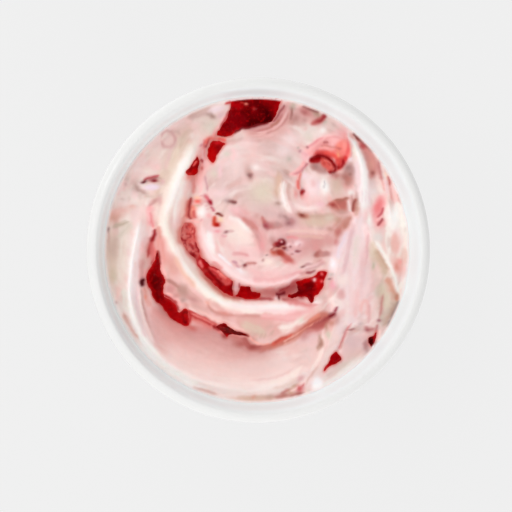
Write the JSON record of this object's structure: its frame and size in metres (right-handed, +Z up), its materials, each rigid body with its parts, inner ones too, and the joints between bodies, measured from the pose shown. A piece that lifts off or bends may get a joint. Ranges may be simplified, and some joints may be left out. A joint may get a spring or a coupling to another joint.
{
  "type": "bowl of strawberry ripple ice cream",
  "caption": "Round glazed bowl filled nearly to its rim with spooned folds of strawberry ice cream, with pools of red jam lying in the hollows.",
  "frame": {"origin": "centre of the bowl's foot ring, on the surface that it stands on", "axes": "+Z up along the bowl's axis, +Y towards the picture's top, +X towards its right"},
  "size_m": [0.12, 0.12, 0.046],
  "materials": {
    "glaze": "glossy white glaze over stoneware",
    "ice_cream": "soft satin, cream white streaked with pale pink",
    "jam": "wet gloss, dark red, brighter red where it is thin"
  },
  "bodies": {
    "root": {"bowl": "glaze", "ice_cream": "ice_cream", "jam_top": "jam", "jam_upper_left_1": "jam", "jam_upper_left_2": "jam", "jam_inner_left": "jam", "jam_inner_centre": "jam", "jam_inner_right": "jam", "jam_outer_left": "jam", "jam_outer_bottom": "jam", "jam_lower_right": "jam", "jam_right_edge": "jam"}
  },
  "joints": []
}
